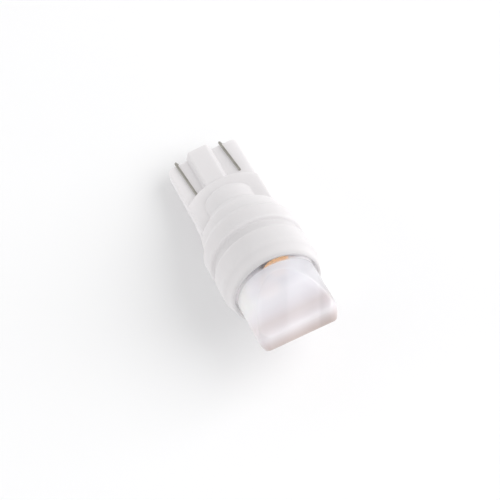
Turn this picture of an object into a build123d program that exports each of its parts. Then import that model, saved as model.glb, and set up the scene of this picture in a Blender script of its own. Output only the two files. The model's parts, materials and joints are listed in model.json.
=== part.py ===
"""Wedge base LED bulb with a ceramic housing and a roof-shaped lens, lying at rest on its side.

Every piece is built upright in the bulb's own frame: Z runs along the bulb with the lens at the top,
z = 0 is the front of the housing's rim, X is the width of the blade and +Y is the face with the leads.
At the end all pieces are laid down together, on the rib of the blade and on the rear collar.
"""
from build123d import *
from math import asin, atan2, degrees, hypot, sqrt
import os

# Head, from the rim backwards
COLLAR_RADIUS = 5.6
COLLAR_EDGE_RADIUS = 0.25
FRONT_TAPER = 1.93         # length of the taper from the front collar to the rim
RIM_INSET = 0.52           # from the side of the collar
RIM_WALL = 0.26
RIM_EDGE_RADIUS = 0.1
FRONT_COLLAR_LENGTH = 2.27
GROOVE_LENGTH = 1.3
GROOVE_DEPTH = 0.55
GROOVE_FILLET = 0.2
REAR_COLLAR_LENGTH = 1.95
CONE_TOP_LENGTH = 0.65     # from the rear collar to the small step in the cone
CONE_STEP_INSET = 0.48
CONE_STEP_DEPTH = 0.13
CONE_LENGTH = 1.65         # from the step to the start of the cone
CONE_INSET = 0.75
CONE_EDGE_RADIUS = 0.08

# Round neck that rises out of the shoulder plate and spreads to the cone
NECK_RADIUS = 3.45
NECK_LENGTH = 5.45         # from the start of the cone to the tip of the domed end
NECK_DOME = 2.6            # height of the dome
NECK_SPREAD = 1.65         # length over which it spreads
NECK_INSET = 0.25          # from the side of the cone, at the cone's start

# Shoulder plate, where the blade thickens
PLATE_THICKNESS = 4.1
PLATE_LENGTH = 6.45        # from the start of the cone to the arched front at mid width
PLATE_ARCH_RISE = 1.9      # how far the arch falls back at the sides
PLATE_CORNER_RADIUS = 0.7
PLATE_EDGE_RADIUS = 0.35
PLATE_SEAT = 0.75          # length that runs on inside the cone

# Narrow sides that spread from the plate to the cone
FLARE_THICKNESS = 3.2
FLARE_LENGTH = 3.25
FLARE_START_INSET = 0.075  # from the side of the plate
FLARE_END_INSET = 0.06     # from the side of the cone, at the cone's start

# Blade of the wedge base
BLADE_WIDTH = 8.75
BLADE_THICKNESS = 2.1
BLADE_LENGTH = 5.4         # in front of the plate, at mid width
BLADE_EDGE_RADIUS = 0.4    # edges of both faces
BLADE_CORNER_RADIUS = 0.9  # corners of the outline at the free end

# Rib along the middle of both faces of the blade
RIB_HEIGHT = 0.85          # above the face
RIB_FOOT_WIDTH = 3.1
RIB_CREST_WIDTH = 2.3
RIB_CREST_RADIUS = 0.25
RIB_SHIFT = -0.24          # of its middle from the middle of the blade
RIB_OVERHANG = 0.2         # past the end of the blade
RIB_END_RADIUS = 0.25
RIB_SEAT = 1.9             # length that runs on inside the plate

# Spaces in the housing: bore for board and lens, round cavity, then a slot for the driver's lower part
BORE_DEPTH = 2.8
CAVITY_WALL = 0.7          # to the side of the cone, at the cone's start
CAVITY_LENGTH = 5.8
SLOT_MARGIN = 0.55         # from the axis of each lead to the side of the slot
SLOT_THICKNESS = 3.0
SLOT_LENGTH = 4.4

# Light emitting board
THERMAL_LAYER = 0.1
THERMAL_LAYER_WIDTH = 0.45
BOARD_GAP = 0.12           # to the bore
BOARD_THICKNESS = 0.8
COPPER_THICKNESS = 0.05
COPPER_MARGIN = 0.35
COPPER_GAP = 0.25
BOARD_TURN = 50.0          # of the row of emitters from the width of the blade, degrees
EMITTER_SHARE = 0.638      # width of an emitter, as a share of the board's radius
EMITTER_HEIGHT = 0.7
EMITTER_GAP = 0.2
EMITTER_CORNER_RADIUS = 0.12
PHOSPHOR_WALL = 0.2        # between the round fill and the side of the emitter
PHOSPHOR_DEPTH = 0.3

# Lens
LENS_GAP = 0.22            # to the bore
LENS_HEIGHT = 6.45         # above the rim
LENS_TIP_WIDTH = 2.3       # narrow flat along the top of the roof
LENS_FLANK_SLOPE = 1.48    # fall of the roof for each millimetre sideways
LENS_RIDGE_RADIUS = 0.6
LENS_TOP_RADIUS = 1.25     # between the top and the round side
LENS_FOOT_GAP = 0.09       # to the bore
LENS_FOOT_HEIGHT = 0.6
LENS_TURN = -2.4           # of the roof's ridge from the width of the blade, degrees
POCKET_CLEARANCE = 0.1     # between the lens and what its pockets clear
BEAD_HEIGHT = 0.3
FIT_GAP = 0.03             # beside round faces that are glued

# Driver board and what is on it
DRIVER_SIDE_GAP = 0.15     # between the board and each side of the slot
DRIVER_HEAD_GAP = 0.3      # between its wide head and the round cavity
DRIVER_THICKNESS = 0.6
DRIVER_TOP_GAP = 0.5       # below the light emitting board
CAPACITOR_WIDTH = 1.6
CAPACITOR_THICKNESS = 1.1
CAPACITOR_SHARE = 0.12     # of the height that the column of components has
RECTIFIER_WIDTH = 3.9
RECTIFIER_THICKNESS = 1.1
RECTIFIER_SHARE = 0.38
CHIP_WIDTH = 2.9
CHIP_THICKNESS = 0.9
CHIP_SHARE = 0.21
RESISTOR_WIDTH = 1.25
RESISTOR_THICKNESS = 0.45
RESISTOR_SHARE = 0.29
PART_SPACING = 0.35
SOLDER_COVER = 0.18        # beside a wire
SOLDER_THICKNESS = 0.6
SOLDER_HEIGHT = 1.3
SOLDER_EDGE_RADIUS = 0.15

# Leads and pins
LEAD_RADIUS = 0.15
LEAD_SPACING = 5.5         # between the two bores in the blade
LEAD_BORE_CLEARANCE = 0.1
LEAD_END_GAP = 0.12        # between the end of the blade and the bend
LEAD_BEND_RADIUS = 0.5
LEAD_FACE_GAP = 0.02
LEAD_OVERLAP = 2.2         # of the leads with the driver board
LEFT_LEAD_BEND_SHIFT = -0.37   # sideways from its bore
LEFT_LEAD_TIP_SHIFT = 0.03
LEFT_LEAD_TIP_GAP = 0.06   # to the arched front of the plate
RIGHT_LEAD_BEND_SHIFT = -0.39
RIGHT_LEAD_TIP_SHIFT = 0.09
RIGHT_LEAD_TIP_GAP = 1.0
PIN_RADIUS = 0.25
PIN_INSET = 0.55           # from the side of the driver board's head
PIN_OVERLAP = 1.8          # of the pins with the driver board
PIN_PROUD = 0.25           # above the copper
PIN_HOLE_CLEARANCE = 0.05
PIN_SOLDER_WIDTH = 0.17
PIN_SOLDER_HEIGHT = 0.2

# Heights that follow, with the front of the rim at 0
FRONT_COLLAR_END = -FRONT_TAPER
FRONT_COLLAR_START = FRONT_COLLAR_END - FRONT_COLLAR_LENGTH
REAR_COLLAR_END = FRONT_COLLAR_START - GROOVE_LENGTH
REAR_COLLAR_START = REAR_COLLAR_END - REAR_COLLAR_LENGTH
CONE_STEP = REAR_COLLAR_START - CONE_TOP_LENGTH
CONE_START = CONE_STEP - CONE_LENGTH
PLATE_TOP = CONE_START + PLATE_SEAT
PLATE_START = CONE_START - PLATE_LENGTH
BLADE_END = PLATE_START - BLADE_LENGTH
RIB_END = BLADE_END - RIB_OVERHANG
BORE_FLOOR = -BORE_DEPTH
CAVITY_FLOOR = BORE_FLOOR - CAVITY_LENGTH
SLOT_FLOOR = CAVITY_FLOOR - SLOT_LENGTH
BOARD_BOTTOM = BORE_FLOOR + THERMAL_LAYER
BOARD_TOP = BOARD_BOTTOM + BOARD_THICKNESS
EMITTER_BOTTOM = BOARD_TOP + COPPER_THICKNESS
EMITTER_TOP = EMITTER_BOTTOM + EMITTER_HEIGHT
LENS_BOTTOM = EMITTER_BOTTOM
LENS_FOOT_TOP = LENS_BOTTOM + LENS_FOOT_HEIGHT
DRIVER_TOP = BOARD_BOTTOM - DRIVER_TOP_GAP
DRIVER_NECK = CAVITY_FLOOR + DRIVER_HEAD_GAP
LEAD_LOW_Z = BLADE_END - LEAD_END_GAP - LEAD_RADIUS

# Radii and widths that follow
HALF_BLADE = BLADE_THICKNESS / 2
RIB_CREST = HALF_BLADE + RIB_HEIGHT
PLATE_ARCH_RADIUS = ((BLADE_WIDTH / 2) ** 2 + PLATE_ARCH_RISE ** 2) / (2 * PLATE_ARCH_RISE)
CONE_START_RADIUS = COLLAR_RADIUS - CONE_INSET
CONE_STEP_RADIUS = COLLAR_RADIUS - CONE_STEP_INSET
GROOVE_RADIUS = COLLAR_RADIUS - GROOVE_DEPTH
RIM_RADIUS = COLLAR_RADIUS - RIM_INSET
BORE_RADIUS = RIM_RADIUS - RIM_WALL
CAVITY_RADIUS = CONE_START_RADIUS - CAVITY_WALL
BOARD_RADIUS = BORE_RADIUS - BOARD_GAP
LENS_RADIUS = BORE_RADIUS - LENS_GAP
EMITTER_SIZE = BOARD_RADIUS * EMITTER_SHARE
EMITTER_OFFSET = (EMITTER_SIZE + EMITTER_GAP) / 2
PHOSPHOR_RADIUS = EMITTER_SIZE / 2 - PHOSPHOR_WALL
SLOT_WIDTH = LEAD_SPACING + 2 * SLOT_MARGIN
DRIVER_FACE_Y = -LEAD_RADIUS
DRIVER_BACK_Y = DRIVER_FACE_Y - DRIVER_THICKNESS
DRIVER_HEAD_HALF = sqrt(CAVITY_RADIUS ** 2 - DRIVER_BACK_Y ** 2) - DRIVER_HEAD_GAP
PIN_X = DRIVER_HEAD_HALF - PIN_INSET
PIN_SOLDER_RADIUS = PIN_RADIUS + PIN_SOLDER_WIDTH
LEAD_FACE_Y = HALF_BLADE + LEAD_RADIUS + LEAD_FACE_GAP

UPWARD = (Align.CENTER, Align.CENTER, Align.MIN)


def post(radius, low, high):
    """Round post along Z between two heights."""
    return Pos(0, 0, low) * Cylinder(radius, high - low, align=UPWARD)


def block(width, thickness, low, high):
    """Box about the Z axis between two heights."""
    return Pos(0, 0, low) * Box(width, thickness, high - low, align=UPWARD)


def rounded_faces(flat_body, radius):
    """Round the edges of the two faces across Y, apart from those at the top of the shoulder plate."""
    faces = flat_body.faces().sort_by(Axis.Y)
    edges = (faces[0].edges() + faces[-1].edges()).filter_by(lambda e: e.center().Z < PLATE_TOP - 1e-4)
    return fillet(edges, radius)


def blade():
    """Flat blade with rounded edges and rounded corners at its free end."""
    length = PLATE_TOP - BLADE_END
    outline = Pos(0, BLADE_END + length / 2) * Rectangle(BLADE_WIDTH, length)
    outline = fillet(outline.vertices().group_by(Axis.Y)[0], BLADE_CORNER_RADIUS)
    body = extrude(Plane.XZ * outline, HALF_BLADE, both=True)
    return rounded_faces(body, BLADE_EDGE_RADIUS)


def rib():
    """Rib through the blade, so that it stands out alike on both faces."""
    foot = RIB_FOOT_WIDTH / 2
    crest = RIB_CREST_WIDTH / 2
    section = Polyline((-foot, -HALF_BLADE), (-crest, -RIB_CREST), (crest, -RIB_CREST), (foot, -HALF_BLADE),
                       (foot, HALF_BLADE), (crest, RIB_CREST), (-crest, RIB_CREST), (-foot, HALF_BLADE),
                       close=True)
    face = make_face(section)
    crest_corners = [v for v in face.vertices() if abs(abs(v.Y) - RIB_CREST) < RIB_HEIGHT / 2]
    face = fillet(crest_corners, RIB_CREST_RADIUS)
    body = Pos(RIB_SHIFT, 0, RIB_END) * extrude(face, PLATE_START + RIB_SEAT - RIB_END)
    return fillet(body.edges().group_by(Axis.Z)[0], RIB_END_RADIUS)


def plate_front(x):
    """Height of the arched front of the shoulder plate at a distance from its middle."""
    return PLATE_START + PLATE_ARCH_RADIUS - sqrt(PLATE_ARCH_RADIUS ** 2 - x ** 2)


def shoulder_plate():
    """Thicker plate with an arched front."""
    half = BLADE_WIDTH / 2
    side = plate_front(half)
    arch = ThreePointArc((-half, side), (0, PLATE_START), (half, side))
    rest = Polyline((half, side), (half, PLATE_TOP), (-half, PLATE_TOP), (-half, side))
    outline = make_face([arch, rest])
    outline = fillet(outline.vertices().group_by(Axis.Y)[0], PLATE_CORNER_RADIUS)
    plate = extrude(Plane.XZ * outline, PLATE_THICKNESS / 2, both=True)
    return rounded_faces(plate, PLATE_EDGE_RADIUS)


def flare():
    """Slice of a cone that carries the narrow sides of the plate out to the cone of the head."""
    low = CONE_START - FLARE_LENGTH
    narrow = BLADE_WIDTH / 2 - FLARE_START_INSET
    wide = CONE_START_RADIUS - FLARE_END_INSET
    outline = Polyline((0, low), (narrow, low), (wide, CONE_START), (wide, PLATE_TOP), (0, PLATE_TOP),
                       close=True)
    cone = revolve(Plane.XZ * make_face(outline), Axis.Z)
    return cone & block(2 * (narrow + wide), FLARE_THICKNESS, low, PLATE_TOP)


def turned_form():
    """Turned form: domed neck, cone, two collars with a groove between them, and tapered front."""
    tip = CONE_START - NECK_LENGTH
    dome_end = tip + NECK_DOME
    dome = EllipticalCenterArc((0, dome_end), NECK_RADIUS, NECK_DOME, 270, arc_size=90)
    side = Polyline((NECK_RADIUS, dome_end), (NECK_RADIUS, CONE_START - NECK_SPREAD),
                    (CONE_START_RADIUS - NECK_INSET, CONE_START),
                    (CONE_START_RADIUS, CONE_START), (CONE_STEP_RADIUS, CONE_STEP),
                    (CONE_STEP_RADIUS + CONE_STEP_DEPTH, CONE_STEP),
                    (COLLAR_RADIUS, REAR_COLLAR_START), (COLLAR_RADIUS, REAR_COLLAR_END),
                    (GROOVE_RADIUS, REAR_COLLAR_END), (GROOVE_RADIUS, FRONT_COLLAR_START),
                    (COLLAR_RADIUS, FRONT_COLLAR_START), (COLLAR_RADIUS, FRONT_COLLAR_END),
                    (RIM_RADIUS, 0), (0, 0), (0, tip))
    face = make_face([dome, side])

    def corners(radius, *heights):
        """Corners of the outline at one radius and the given heights."""
        return [v for v in face.vertices()
                if abs(v.X - radius) < 1e-4 and any(abs(v.Y - z) < 1e-4 for z in heights)]

    face = fillet(corners(COLLAR_RADIUS, REAR_COLLAR_START, REAR_COLLAR_END, FRONT_COLLAR_START),
                  COLLAR_EDGE_RADIUS)
    face = fillet(corners(GROOVE_RADIUS, REAR_COLLAR_END, FRONT_COLLAR_START), GROOVE_FILLET)
    face = fillet(corners(RIM_RADIUS, 0), RIM_EDGE_RADIUS)
    face = fillet(corners(CONE_START_RADIUS, CONE_START)
                  + corners(CONE_STEP_RADIUS + CONE_STEP_DEPTH, CONE_STEP), CONE_EDGE_RADIUS)
    return revolve(Plane.XZ * face, Axis.Z)


def housing():
    """Ceramic housing: blade, plate and turned form in one piece, hollowed for the board and driver."""
    body = turned_form() + flare() + shoulder_plate() + blade() + rib()
    body -= post(BORE_RADIUS, BORE_FLOOR, 1)
    body -= post(CAVITY_RADIUS, CAVITY_FLOOR, BORE_FLOOR + 1)
    body -= block(SLOT_WIDTH, SLOT_THICKNESS, SLOT_FLOOR, BORE_FLOOR)
    hole = post(LEAD_RADIUS + LEAD_BORE_CLEARANCE, BLADE_END - 1, SLOT_FLOOR + 1)
    for side in (-1, 1):
        body -= Pos(side * LEAD_SPACING / 2, 0, 0) * hole
    return body


def thermal_layer():
    """Thin ring of heat conducting adhesive under the rim of the board."""
    inner = BOARD_RADIUS - THERMAL_LAYER_WIDTH
    return post(BOARD_RADIUS, BORE_FLOOR, BOARD_BOTTOM) - post(inner, BORE_FLOOR, BOARD_BOTTOM)


def on_board(shape, x=0.0, y=0.0):
    """Place a shape in the turned frame of the board."""
    return Rot(0, 0, BOARD_TURN) * Pos(x, y, 0) * shape


def pin_places():
    """Places of the two pins, which lie on the front face of the driver board."""
    return [(side * PIN_X, DRIVER_FACE_Y + PIN_RADIUS) for side in (-1, 1)]


def led_board():
    """Round board with two holes for the pins."""
    board = post(BOARD_RADIUS, BOARD_BOTTOM, BOARD_TOP)
    for x, y in pin_places():
        board -= Pos(x, y, 0) * post(PIN_RADIUS + PIN_HOLE_CLEARANCE, BOARD_BOTTOM, BOARD_TOP)
    return board


def copper_field(place):
    """Copper on the board: -1 and 1 are the fields at the pins, 0 joins the two emitters."""
    low, high = BOARD_TOP, EMITTER_BOTTOM
    field = post(BOARD_RADIUS - COPPER_MARGIN, low, high)
    span = 2 * BOARD_RADIUS
    if place == 0:
        field &= block(2 * EMITTER_OFFSET - COPPER_GAP, span, low, high)
    else:
        shift = EMITTER_OFFSET + COPPER_GAP / 2 + span / 2
        field &= Pos(place * shift, 0, 0) * block(span, span, low, high)
    field = on_board(field)
    for x, y in pin_places():
        field -= Pos(x, y, 0) * post(PIN_RADIUS + PIN_HOLE_CLEARANCE, low, high)
    return field


def emitter(place):
    """Square emitter package with a round cup in its top."""
    body = block(EMITTER_SIZE, EMITTER_SIZE, EMITTER_BOTTOM, EMITTER_TOP)
    body = fillet(body.edges().filter_by(Axis.Z), EMITTER_CORNER_RADIUS)
    body -= post(PHOSPHOR_RADIUS, EMITTER_TOP - PHOSPHOR_DEPTH, EMITTER_TOP)
    return on_board(body, place * EMITTER_OFFSET)


def phosphor(place):
    """Round fill of the emitter's cup."""
    fill = post(PHOSPHOR_RADIUS - FIT_GAP, EMITTER_TOP - PHOSPHOR_DEPTH, EMITTER_TOP)
    return on_board(fill, place * EMITTER_OFFSET)


def lens_blank():
    """Round lens with a rounded top, cut by two slopes to a roof with a narrow flat along it."""
    tip = LENS_TIP_WIDTH / 2
    eave = LENS_HEIGHT - (LENS_RADIUS - tip) * LENS_FLANK_SLOPE
    body = post(LENS_RADIUS, LENS_BOTTOM, LENS_HEIGHT)
    body = fillet(body.edges().group_by(Axis.Z)[-1], LENS_TOP_RADIUS)
    gable = make_face(Polyline((-LENS_RADIUS, LENS_BOTTOM), (-LENS_RADIUS, eave), (-tip, LENS_HEIGHT),
                               (tip, LENS_HEIGHT), (LENS_RADIUS, eave), (LENS_RADIUS, LENS_BOTTOM), close=True))
    ridge = gable.vertices().group_by(Axis.Y)[-1]
    gable = fillet(ridge, LENS_RIDGE_RADIUS)
    return Rot(0, 0, LENS_TURN) * (body & extrude(Plane.YZ * gable, LENS_RADIUS, both=True))


def lens():
    """Lens with a foot, and pockets over the emitters and the pins."""
    body = lens_blank() + post(BORE_RADIUS - LENS_FOOT_GAP, LENS_BOTTOM, LENS_FOOT_TOP)
    room = POCKET_CLEARANCE
    long_side = 2 * EMITTER_OFFSET + EMITTER_SIZE + 2 * room
    body -= on_board(block(long_side, EMITTER_SIZE + 2 * room, LENS_BOTTOM, EMITTER_TOP + room))
    for x, y in pin_places():
        body -= Pos(x, y, 0) * post(PIN_SOLDER_RADIUS + room, LENS_BOTTOM, LENS_BOTTOM + PIN_PROUD + room)
    return body


def lens_bead():
    """Bead of adhesive that holds the foot of the lens in the bore."""
    low, high = LENS_FOOT_TOP, LENS_FOOT_TOP + BEAD_HEIGHT
    return post(BORE_RADIUS - FIT_GAP, low, high) - post(LENS_RADIUS + FIT_GAP, low, high)


def on_driver(width, thickness, height, x, top):
    """Box on the front face of the driver board, hanging down from a height."""
    corner = (Align.CENTER, Align.MIN, Align.MAX)
    return Pos(x, DRIVER_FACE_Y, top) * Box(width, thickness, height, align=corner)


def driver_board():
    """Upright board with a wide head, standing on the floor of the slot."""
    head = block(2 * DRIVER_HEAD_HALF, DRIVER_THICKNESS, DRIVER_NECK, DRIVER_TOP)
    tail = block(SLOT_WIDTH - 2 * DRIVER_SIDE_GAP, DRIVER_THICKNESS, SLOT_FLOOR, DRIVER_NECK)
    return Pos(0, DRIVER_FACE_Y - DRIVER_THICKNESS / 2, 0) * (head + tail)


def driver_parts():
    """Components in a column down the front of the driver board, the two resistors side by side."""
    room = DRIVER_TOP - SLOT_FLOOR - 5 * PART_SPACING
    column = (("capacitor", CAPACITOR_WIDTH, CAPACITOR_THICKNESS, CAPACITOR_SHARE * room),
              ("rectifier", RECTIFIER_WIDTH, RECTIFIER_THICKNESS, RECTIFIER_SHARE * room),
              ("driver_chip", CHIP_WIDTH, CHIP_THICKNESS, CHIP_SHARE * room))
    parts = {}
    top = DRIVER_TOP - PART_SPACING
    for name, width, thickness, height in column:
        parts[name] = on_driver(width, thickness, height, 0, top)
        top -= height + PART_SPACING
    for name, side in (("resistor_left", -1), ("resistor_right", 1)):
        shift = side * (RESISTOR_WIDTH + PART_SPACING) / 2
        parts[name] = on_driver(RESISTOR_WIDTH, RESISTOR_THICKNESS, RESISTOR_SHARE * room, shift, top)
    return parts


def swept_wire(points, radius, bend):
    """Round wire along a path with rounded corners."""
    path = FilletPolyline(*points, radius=bend)
    start = Plane(origin=path @ 0, z_dir=path % 0)
    return sweep(start * Circle(radius), path=path)


def lead(side, bend_shift, tip_shift, tip_gap):
    """Lead from the driver board through the blade, folded over its end onto the front face."""
    x = side * LEAD_SPACING / 2
    bend_x, tip_x = x + bend_shift, x + tip_shift
    tip_z = plate_front(abs(tip_x) - LEAD_RADIUS) - tip_gap
    points = [(x, 0, SLOT_FLOOR + LEAD_OVERLAP), (x, 0, LEAD_LOW_Z),
              (bend_x, LEAD_FACE_Y, LEAD_LOW_Z), (tip_x, LEAD_FACE_Y, tip_z)]
    return swept_wire(points, LEAD_RADIUS, LEAD_BEND_RADIUS)


def pin(place):
    """Straight pin from the driver board up through the light emitting board."""
    x, y = place
    return Pos(x, y, 0) * post(PIN_RADIUS, DRIVER_TOP - PIN_OVERLAP, EMITTER_BOTTOM + PIN_PROUD)


def pin_solder(place):
    """Ring of solder round a pin on the copper."""
    x, y = place
    low, high = EMITTER_BOTTOM, EMITTER_BOTTOM + PIN_SOLDER_HEIGHT
    ring = post(PIN_SOLDER_RADIUS, low, high)
    ring = fillet(ring.edges().group_by(Axis.Z)[-1], PIN_SOLDER_HEIGHT / 2)
    return Pos(x, y, 0) * (ring - post(PIN_RADIUS + FIT_GAP / 3, low, high))


def wire_solder(x, y, radius, top):
    """Mound of solder on the driver board, round a wire that lies on it."""
    mound = on_driver(2 * (radius + SOLDER_COVER), SOLDER_THICKNESS, SOLDER_HEIGHT, x, top)
    outer = mound.edges().filter_by(lambda e: e.center().Y > DRIVER_FACE_Y + SOLDER_THICKNESS / 4)
    mound = fillet(outer, SOLDER_EDGE_RADIUS)
    return mound - Pos(x, y, 0) * post(radius + FIT_GAP / 3, top - SOLDER_HEIGHT, top)


def pieces():
    """All pieces upright in the bulb's own frame, by name."""
    made = {
        "ceramic_housing": housing(),
        "thermal_layer": thermal_layer(),
        "led_board": led_board(),
        "copper_field_left": copper_field(-1),
        "copper_field_middle": copper_field(0),
        "copper_field_right": copper_field(1),
        "emitter_left": emitter(-1),
        "emitter_right": emitter(1),
        "phosphor_left": phosphor(-1),
        "phosphor_right": phosphor(1),
        "lens": lens(),
        "lens_bead": lens_bead(),
        "driver_board": driver_board(),
        "lead_left": lead(-1, LEFT_LEAD_BEND_SHIFT, LEFT_LEAD_TIP_SHIFT, LEFT_LEAD_TIP_GAP),
        "lead_right": lead(1, RIGHT_LEAD_BEND_SHIFT, RIGHT_LEAD_TIP_SHIFT, RIGHT_LEAD_TIP_GAP),
    }
    made.update(driver_parts())
    lead_top = SLOT_FLOOR + LEAD_OVERLAP
    pin_joint_top = DRIVER_TOP - PIN_OVERLAP + SOLDER_HEIGHT
    for index, side in enumerate(("left", "right")):
        place = pin_places()[index]
        lead_x = (2 * index - 1) * LEAD_SPACING / 2
        made["pin_" + side] = pin(place)
        made["pin_solder_" + side] = pin_solder(place)
        made["lead_joint_" + side] = wire_solder(lead_x, 0, LEAD_RADIUS, lead_top)
        made["pin_joint_" + side] = wire_solder(*place, PIN_RADIUS, pin_joint_top)
    return made


def rest_pitch():
    """Angle of the bulb's axis when the rib's end and the rear collar both touch the ground."""
    rib_z, rib_r = RIB_END + RIB_END_RADIUS, RIB_CREST - RIB_END_RADIUS
    collar_z = REAR_COLLAR_START + COLLAR_EDGE_RADIUS
    collar_r = COLLAR_RADIUS - COLLAR_EDGE_RADIUS
    along, out = collar_z - rib_z, collar_r - rib_r
    return degrees(atan2(out, along) + asin((COLLAR_EDGE_RADIUS - RIB_END_RADIUS) / hypot(along, out)))


def laid_down(shapes):
    """Lay all shapes on the ground: the axis along +X, lens raised, leads up, centred over the origin."""
    upright = Plane(origin=(0, 0, 0), x_dir=(0, 1, 0), z_dir=(1, 0, 0))
    turn = Rot(0, -rest_pitch(), 0) * upright.location
    turned = {name: turn * shape for name, shape in shapes.items()}
    box = Compound(children=[Compound(shape.solids()) for shape in turned.values()]).bounding_box()
    middle = box.center()
    shift = Pos(-middle.X, -middle.Y, -box.min.Z)
    return {name: shift * shape for name, shape in turned.items()}


def main():
    os.makedirs("parts", exist_ok=True)
    print("rest pitch", round(rest_pitch(), 3))
    for name, shape in laid_down(pieces()).items():
        export_step(shape, "parts/" + name + ".step")


main()
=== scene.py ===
"""Looks of the wedge base LED bulb: materials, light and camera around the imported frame."""
import json
import math

import bpy
from mathutils import Matrix, Vector


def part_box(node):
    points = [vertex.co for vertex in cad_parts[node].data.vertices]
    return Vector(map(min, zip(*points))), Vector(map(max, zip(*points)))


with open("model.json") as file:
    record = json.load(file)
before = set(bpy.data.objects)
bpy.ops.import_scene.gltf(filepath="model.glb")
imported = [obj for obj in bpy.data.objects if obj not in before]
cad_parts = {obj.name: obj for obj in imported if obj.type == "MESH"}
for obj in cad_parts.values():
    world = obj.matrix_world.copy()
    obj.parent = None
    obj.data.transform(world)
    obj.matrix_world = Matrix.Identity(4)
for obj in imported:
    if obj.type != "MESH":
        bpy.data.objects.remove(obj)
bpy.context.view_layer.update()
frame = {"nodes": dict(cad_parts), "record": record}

MM = 0.001

# The bulb's own frame in the row frame: Z runs along the bulb to the lens and is 0 in the plane of the
# rim, X runs across the blade, Y out of the face with the leads. BOARD_MIDDLE is the emitter board's Z
PITCH = math.radians(14.458)
AXIS = Vector((math.cos(PITCH), 0.0, math.sin(PITCH)))
FACE = Vector((-math.sin(PITCH), 0.0, math.cos(PITCH)))
WIDTH = Vector((0.0, 1.0, 0.0))
BOARD_MIDDLE = -2.3 * MM

# Directions in the bulb's own frame. ACROSS_RIDGE runs down the photo, square to the ridge of the lens.
# OUT_OF_RIM leans a little from the axis, as does the border of the clear part of the lens
ALONG_BULB = (0.0, 0.0, 1.0)
ACROSS_BLADE = (1.0, 0.0, 0.0)
ACROSS_RIDGE = (0.0, -0.638, 0.770)
OUT_OF_RIM = (0.0, -0.1, 1.0)
PHOTO_RIGHT = (0.894, -0.230, 0.384)
PHOTO_NEAR = (-0.075, 0.768, 0.636)

# Camera fitted to the photo. Picture and focal length are in pixels, the rest is in mm: the width of the
# sensor, the camera's place from the middle of the rim, and the nearest depth that it draws
PHOTO_WIDTH = 500
FOCAL_LENGTH = 2330
SENSOR_WIDTH = 36.0
CAMERA_RIGHT = -2.96
CAMERA_UP = 4.11
CAMERA_DISTANCE = 250.0
NEAREST_DEPTH = 10.0

# Studio, with sizes in metres
FLOOR_HALF = 1.5
LAMP_DISTANCE = 0.6
TENT_STRENGTH = 0.84

# Nearly all values of a noise texture lie in this range
NOISE_LOW = 0.3
NOISE_HIGH = 0.7

# In a plain finish: change of roughness to either side, and how much finer the grain is than the mottling
ROUGHNESS_CHANGE = 0.05
GRAIN_FINENESS = 6

# Rays by which a soft edge looks for the faces beside it
EDGE_SAMPLES = 8

# Places of the colour sockets on a mix node
MIX_COLOUR_A = 6
MIX_COLOUR_B = 7
MIX_COLOUR_RESULT = 2


def rim_point():
    """Point on the bulb's axis in the plane of the rim, the origin of the bulb's own frame."""
    low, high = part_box("led_board")
    return (Vector(low) + Vector(high)) / 2 - BOARD_MIDDLE * AXIS


def in_row(x, y, z):
    """Direction given in the bulb's own frame, in the row frame."""
    return x * WIDTH + y * FACE + z * AXIS


def square_to(direction, other):
    """The part of a direction that is square to another one, at length 1."""
    return (direction - direction.dot(other) * other).normalized()


RIM = rim_point()

# The photo's directions in the row frame: to its right, towards the viewer and up
RIGHT = in_row(*PHOTO_RIGHT).normalized()
TOWARDS = square_to(in_row(*PHOTO_NEAR), RIGHT)
UP = TOWARDS.cross(RIGHT)


def new_material(name):
    """Empty material with one shader."""
    made = bpy.data.materials.new(name)
    made.use_nodes = True
    tree = made.node_tree
    tree.nodes.clear()
    out = tree.nodes.new("ShaderNodeOutputMaterial")
    shader = tree.nodes.new("ShaderNodeBsdfPrincipled")
    tree.links.new(shader.outputs["BSDF"], out.inputs["Surface"])
    return made, tree, shader


def set_inputs(node, values):
    """Set a node's own sockets by name."""
    for name, value in values.items():
        node.inputs[name].default_value = value


def noise(tree, scale, detail=4.0):
    """Noise in object coordinates; scale is in features for each metre."""
    where = tree.nodes.new("ShaderNodeTexCoord")
    made = tree.nodes.new("ShaderNodeTexNoise")
    set_inputs(made, {"Scale": scale, "Detail": detail})
    tree.links.new(where.outputs["Object"], made.inputs["Vector"])
    return made.outputs["Fac"]


def rgba(tone):
    """Colour of a tone, which is either a colour already or a grey level."""
    return (*tone, 1) if isinstance(tone, tuple) else (tone, tone, tone, 1)


def ramp(tree, source, stops):
    """Tones that change evenly from stop to stop, where the source goes from 0 to 1."""
    made = tree.nodes.new("ShaderNodeValToRGB")
    elements = made.color_ramp.elements
    for element, (place, tone) in ((elements[0], stops[0]), (elements[1], stops[-1])):
        element.position = place
        element.color = rgba(tone)
    for place, tone in stops[1:-1]:
        elements.new(place).color = rgba(tone)
    tree.links.new(source, made.inputs["Fac"])
    return made.outputs["Color"]


def spread(tree, source, low, high):
    """Map a noise value to a narrow range."""
    made = tree.nodes.new("ShaderNodeMapRange")
    set_inputs(made, {"From Min": NOISE_LOW, "From Max": NOISE_HIGH, "To Min": low, "To Max": high})
    tree.links.new(source, made.inputs["Value"])
    return made.outputs["Result"]


def vector_math(tree, operation, one, other=(0, 0, 0)):
    """Result of a vector node that takes a socket, and then a second socket or a fixed vector."""
    made = tree.nodes.new("ShaderNodeVectorMath")
    made.operation = operation
    tree.links.new(one, made.inputs[0])
    if isinstance(other, bpy.types.NodeSocket):
        tree.links.new(other, made.inputs[1])
    else:
        made.inputs[1].default_value = other
    return made.outputs["Value" if operation in ("DOT_PRODUCT", "LENGTH") else "Vector"]


def from_rim(tree):
    """Vector from the middle of the rim to the shaded point."""
    where = tree.nodes.new("ShaderNodeTexCoord")
    return vector_math(tree, "SUBTRACT", where.outputs["Object"], RIM)


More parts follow.
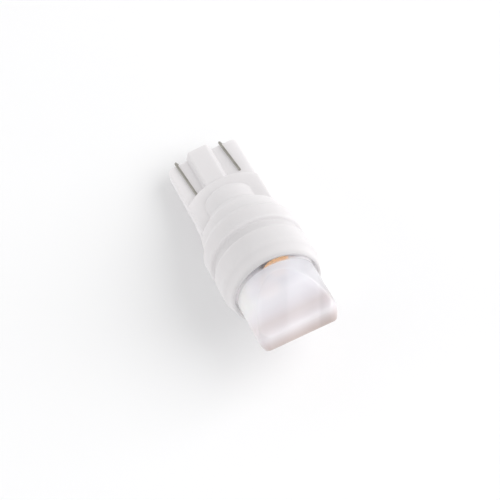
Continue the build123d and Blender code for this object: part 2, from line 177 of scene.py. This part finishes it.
def along(tree, direction):
    """Distance from the middle of the rim along a direction in the bulb's own frame."""
    return vector_math(tree, "DOT_PRODUCT", from_rim(tree), in_row(*direction))


def off_axis(tree):
    """Distance from the bulb's axis."""
    return vector_math(tree, "LENGTH", vector_math(tree, "CROSS_PRODUCT", from_rim(tree), AXIS))


def tones(tree, distance, stops):
    """Tones that change evenly from stop to stop; each stop has its distance in mm."""
    first, last = stops[0][0], stops[-1][0]
    share = tree.nodes.new("ShaderNodeMapRange")
    set_inputs(share, {"From Min": first * MM, "From Max": last * MM})
    tree.links.new(distance, share.inputs["Value"])
    places = [((at - first) / (last - first), tone) for at, tone in stops]
    return ramp(tree, share.outputs["Result"], places)


def times(tree, *factors):
    """Product of tones."""
    product = factors[0]
    for factor in factors[1:]:
        product = vector_math(tree, "MULTIPLY", product, factor)
    return product


def mix(tree, amount, one, other):
    """One tone where the amount is 0, the other where it is 1."""
    made = tree.nodes.new("ShaderNodeMix")
    made.data_type = "RGBA"
    tree.links.new(amount, made.inputs["Factor"])
    tree.links.new(one, made.inputs[MIX_COLOUR_A])
    tree.links.new(other, made.inputs[MIX_COLOUR_B])
    return made.outputs[MIX_COLOUR_RESULT]


def bump(tree, source, shader, height, strength=1.0):
    """Fine relief of a height in metres."""
    made = tree.nodes.new("ShaderNodeBump")
    set_inputs(made, {"Distance": height, "Strength": strength})
    tree.links.new(source, made.inputs["Height"])
    tree.links.new(made.outputs["Normal"], shader.inputs["Normal"])
    return made


def soften(tree, radius, onto):
    """Let the light run round the edges as if they were rounded by a radius in mm."""
    made = tree.nodes.new("ShaderNodeBevel")
    made.samples = EDGE_SAMPLES
    made.inputs["Radius"].default_value = radius * MM
    tree.links.new(made.outputs["Normal"], onto.inputs["Normal"])


def plain_finish(name, dark, light, rough, metallic=0.0, glow=None, scale=900.0, bump_height=2e-6):
    """Finish with slight mottling of colour and roughness, and a fine grain."""
    made, tree, shader = new_material(name)
    shader.inputs["Metallic"].default_value = metallic
    field = noise(tree, scale)
    mottling = ramp(tree, field, [(NOISE_LOW, dark), (NOISE_HIGH, light)])
    tree.links.new(mottling, shader.inputs["Base Color"])
    roughness = spread(tree, field, rough - ROUGHNESS_CHANGE, rough + ROUGHNESS_CHANGE)
    tree.links.new(roughness, shader.inputs["Roughness"])
    bump(tree, noise(tree, scale * GRAIN_FINENESS), shader, bump_height)
    if glow:
        set_inputs(shader, {"Emission Color": rgba(glow), "Emission Strength": 1.0})
    return made


def ceramic():
    """White ceramic with a weak glow, which stands for the light that passes through its thin walls.

    Its tones change a little along the bulb and across it, as painted light and shade: lighter towards the
    blade's end and at both sides, darker towards the rim.
    """
    made, tree, shader = new_material("ceramic")
    mottling = ramp(tree, noise(tree, scale=90.0, detail=2.0),
                    [(NOISE_LOW, (0.435, 0.42, 0.425)), (NOISE_HIGH, (0.455, 0.445, 0.45))])
    # Painted light and shade along the bulb: lighter towards the blade's end, darker towards the rim
    painted_light_along = tones(tree, along(tree, ALONG_BULB), [
        (-21.0, 1.18), (-15.0, 1.13), (-12.0, 1.08), (-9.5, 1.06), (-7.0, 1.02), (-5.6, 0.99), (-5.1, 0.95),
        (-4.3, 0.97), (-3.9, 0.99), (-1.9, 0.98), (-1.4, 0.93), (-1.0, 0.97), (-0.6, 0.98), (-0.3, 0.94),
        (0.0, 0.88)])
    # Painted light across the blade: lighter towards both sides
    painted_light_across = tones(tree, along(tree, ACROSS_BLADE), [
        (-5.0, 1.12), (-3.5, 1.09), (-1.5, 0.99), (1.0, 0.99), (3.5, 1.07), (4.7, 1.18)])
    tree.links.new(times(tree, mottling, painted_light_along, painted_light_across), shader.inputs["Base Color"])
    roughness = spread(tree, noise(tree, scale=2200.0, detail=3.0), low=0.55, high=0.6)
    tree.links.new(roughness, shader.inputs["Roughness"])
    glow = tones(tree, along(tree, ALONG_BULB), [(-0.5, 0.27), (0.0, 0.2)])
    tree.links.new(glow, shader.inputs["Emission Strength"])
    set_inputs(shader, {"Emission Color": (0.985, 0.965, 0.975, 1), "Specular IOR Level": 0.3,
                        "Subsurface Weight": 0.25, "Subsurface Radius": (1.0, 0.95, 0.92),
                        "Subsurface Scale": 2.0 * MM})
    grain = bump(tree, noise(tree, scale=5200.0, detail=3.0), shader, height=3e-6, strength=0.5)
    soften(tree, radius=0.25, onto=grain)
    return made


def lens_colour(tree):
    """Painted light and shade of the lens: bands along the ridge of the roof, with other tones at both sides
    and towards the round wall. The bands stand for the light that a clear lens would bend, the left side has
    painted light, the right side painted shade, and a painted dark line runs just inside the round wall.
    """
    # Painted light and shade in bands along the ridge, darkest at the tip
    bands = tones(tree, along(tree, ACROSS_RIDGE), [
        (-1.9, (0.77, 0.76, 0.80)), (-0.6, (0.78, 0.77, 0.81)), (0.3, (0.84, 0.83, 0.865)),
        (1.2, (0.815, 0.80, 0.835)), (2.0, (0.785, 0.755, 0.785)), (2.8, (0.74, 0.69, 0.70)),
        (3.4, (0.755, 0.71, 0.725)), (4.1, (0.81, 0.78, 0.805)), (4.5, (0.775, 0.735, 0.75)),
        (5.0, (0.665, 0.595, 0.59)), (5.6, (0.565, 0.475, 0.45))])
    right = along(tree, PHOTO_RIGHT)
    # Painted light on the left side of the lens and painted shade on its right side
    sides = tones(tree, right, [
        (-4.6, 1.14), (-3.86, 1.24), (-2.76, 1.13), (-1.66, 1.0), (0.92, 0.99), (2.3, 0.985),
        (3.04, 0.955), (3.68, 0.93), (4.23, 0.93), (4.6, 0.85)])
    radius = off_axis(tree)
    # Painted shade in a dark line just inside the round wall, deeper on the right where it runs onto the
    # wall
    left_edge_shade = tones(tree, radius, [
        (3.6, 1.0), (4.2, 0.985), (4.4, 0.965), (4.53, 0.935), (4.585, 0.985)])
    right_edge_shade = tones(tree, radius, [
        (4.2, 1.0), (4.4, 0.985), (4.53, 0.955), (4.57, 0.9), (4.585, 0.85)])
    wall = mix(tree, tones(tree, right, [(0.46, 0.0), (2.76, 1.0)]), left_edge_shade, right_edge_shade)
    return times(tree, bands, sides, wall)


def lens_plastic():
    """Milky plastic, whose soft bands stand for the light that a clear lens would bend.

    Below the rim it is clear over one emitter. Its foot is wetted by silicone and bends no light, so that
    the orange phosphor shows. On both sides of that window a weak glow stands for light that the lens leads.
    """
    made, tree, shader = new_material("lens_plastic")
    right = along(tree, PHOTO_RIGHT)
    height = along(tree, OUT_OF_RIM)
    tree.links.new(lens_colour(tree), shader.inputs["Base Color"])
    clear = tones(tree, height, [(-0.18, 0.85), (0.0, 0.1)])
    over_emitter = tones(tree, right, [
        (-4.6, 0.2), (-2.12, 0.35), (-1.66, 0.95), (0.78, 0.95), (1.29, 0.15)])
    tree.links.new(times(tree, clear, over_emitter), shader.inputs["Transmission Weight"])
    below_rim = tones(tree, height, [(-0.24, 0.45), (0.0, 0.0)])
    gap_ends = tones(tree, right, [(-4.05, 0.35), (-2.76, 0.0), (1.47, 0.0), (2.76, 0.8)])
    tree.links.new(times(tree, below_rim, gap_ends), shader.inputs["Emission Strength"])
    tree.links.new(tones(tree, height, [(-0.18, 0.03), (0.0, 0.3)]), shader.inputs["Roughness"])
    wetted = tones(tree, along(tree, ALONG_BULB), [(-0.92, 1.001), (-0.88, 1.49)])
    tree.links.new(wetted, shader.inputs["IOR"])
    set_inputs(shader, {"Emission Color": (0.9, 0.88, 0.88, 1), "Subsurface Weight": 1.0,
                        "Subsurface Radius": (1.0, 0.95, 0.97), "Subsurface Scale": 2.0 * MM})
    soften(tree, radius=0.4, onto=shader)
    return made


TONED_FINISHES = {"ceramic": ceramic, "lens_plastic": lens_plastic}

# The phosphor glows a little, as it takes up the daylight; the glow is also painted light, which brightens
# it in the shade under the lens
PLAIN_FINISHES = {
    "board_mask": {"dark": (0.80, 0.80, 0.78), "light": (0.86, 0.86, 0.84), "rough": 0.4},
    "copper": {"dark": (0.80, 0.50, 0.33), "light": (0.88, 0.60, 0.42), "rough": 0.35, "metallic": 1.0},
    "emitter_resin": {"dark": (0.84, 0.82, 0.74), "light": (0.88, 0.86, 0.80), "rough": 0.4},
    # Phosphor glow: partly painted light in the shade under the lens
    "phosphor": {"dark": (0.90, 0.42, 0.06), "light": (0.95, 0.52, 0.10), "rough": 0.3,
                 "glow": (1.0, 0.58, 0.24)},
    "silicone": {"dark": (0.76, 0.76, 0.77), "light": (0.84, 0.84, 0.84), "rough": 0.35},
    "driver_mask": {"dark": (0.02, 0.12, 0.05), "light": (0.03, 0.17, 0.07), "rough": 0.35},
    "chip_resin": {"dark": (0.012, 0.012, 0.013), "light": (0.02, 0.02, 0.022), "rough": 0.5},
    "capacitor_body": {"dark": (0.34, 0.23, 0.12), "light": (0.42, 0.30, 0.17), "rough": 0.45},
    "resistor_body": {"dark": (0.015, 0.015, 0.02), "light": (0.03, 0.03, 0.035), "rough": 0.4},
    "tinned_wire": {"dark": (0.31, 0.30, 0.27), "light": (0.43, 0.415, 0.38), "rough": 0.32,
                    "metallic": 1.0},
    "solder": {"dark": (0.60, 0.60, 0.58), "light": (0.72, 0.72, 0.70), "rough": 0.3, "metallic": 1.0},
}


def finish(slot):
    """Material for a material slot of the record."""
    if slot in TONED_FINISHES:
        return TONED_FINISHES[slot]()
    return plain_finish(slot, **PLAIN_FINISHES[slot])


def dress_nodes():
    """Give every CAD node the finish of its material slot.

    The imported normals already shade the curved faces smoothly.
    """
    made = {}
    for entry in frame["record"]["subparts"]:
        slot = entry["material_slot"]
        if slot not in made:
            made[slot] = finish(slot)
        node = frame["nodes"][entry["node"]]
        node.data.materials.clear()
        node.data.materials.append(made[slot])


def make_floor():
    """Plain pale paper."""
    mesh = bpy.data.meshes.new("floor")
    corners = [(x * FLOOR_HALF, y * FLOOR_HALF, 0) for x, y in ((-1, -1), (1, -1), (1, 1), (-1, 1))]
    mesh.from_pydata(corners, [], [(0, 1, 2, 3)])
    floor = bpy.data.objects.new("floor", mesh)
    bpy.context.collection.objects.link(floor)
    mesh.materials.append(plain_finish("floor_paper", dark=(0.95, 0.95, 0.955), light=(0.96, 0.96, 0.965),
                                       rough=0.8, scale=30.0, bump_height=1e-6))


def area_light(name, direction, size, power):
    """Round lamp that shines on the bulb.

    Its direction goes by the photo: how far to the right, up and towards the viewer, in LAMP_DISTANCE.
    """
    data = bpy.data.lights.new(name, "AREA")
    data.shape = "DISK"
    data.size = size
    data.energy = power
    light = bpy.data.objects.new(name, data)
    bpy.context.collection.objects.link(light)
    right, up, towards = direction
    place = LAMP_DISTANCE * (right * RIGHT + up * UP + towards * TOWARDS)
    light.matrix_world = Matrix.Translation(place) @ (-place).to_track_quat("-Z", "Y").to_matrix().to_4x4()


def make_light():
    """White tent, brighter at its sides than overhead, and two lamps.

    The broad one stands on the right, the weak one low on the left.
    """
    world = bpy.data.worlds.new("studio")
    world.use_nodes = True
    tree = world.node_tree
    back = tree.nodes["Background"]
    where = tree.nodes.new("ShaderNodeTexCoord")
    split = tree.nodes.new("ShaderNodeSeparateXYZ")
    tree.links.new(where.outputs["Generated"], split.inputs["Vector"])
    tent = ramp(tree, split.outputs["Z"], [(0.0, 1.2), (0.5, 0.95), (1.0, 0.65)])
    tree.links.new(tent, back.inputs["Color"])
    back.inputs["Strength"].default_value = TENT_STRENGTH
    bpy.context.scene.world = world
    area_light("key", direction=(1.0, 0.5, 0.9), size=0.9, power=4.85)
    area_light("fill", direction=(-1.1, 0.1, 0.15), size=0.3, power=0.4)


def aim_camera():
    """Camera that sees the bulb as in the photo."""
    data = bpy.data.cameras.new("camera")
    data.sensor_width = SENSOR_WIDTH
    data.lens = SENSOR_WIDTH * FOCAL_LENGTH / PHOTO_WIDTH
    data.clip_start = NEAREST_DEPTH * MM
    camera = bpy.data.objects.new("camera", data)
    bpy.context.collection.objects.link(camera)
    place = RIM + MM * (CAMERA_RIGHT * RIGHT + CAMERA_UP * UP + CAMERA_DISTANCE * TOWARDS)
    turn = Matrix((RIGHT, UP, TOWARDS)).transposed().to_4x4()
    camera.matrix_world = Matrix.Translation(place) @ turn
    bpy.context.scene.camera = camera


dress_nodes()
make_floor()
make_light()
aim_camera()
bpy.context.scene.view_settings.view_transform = "Standard"
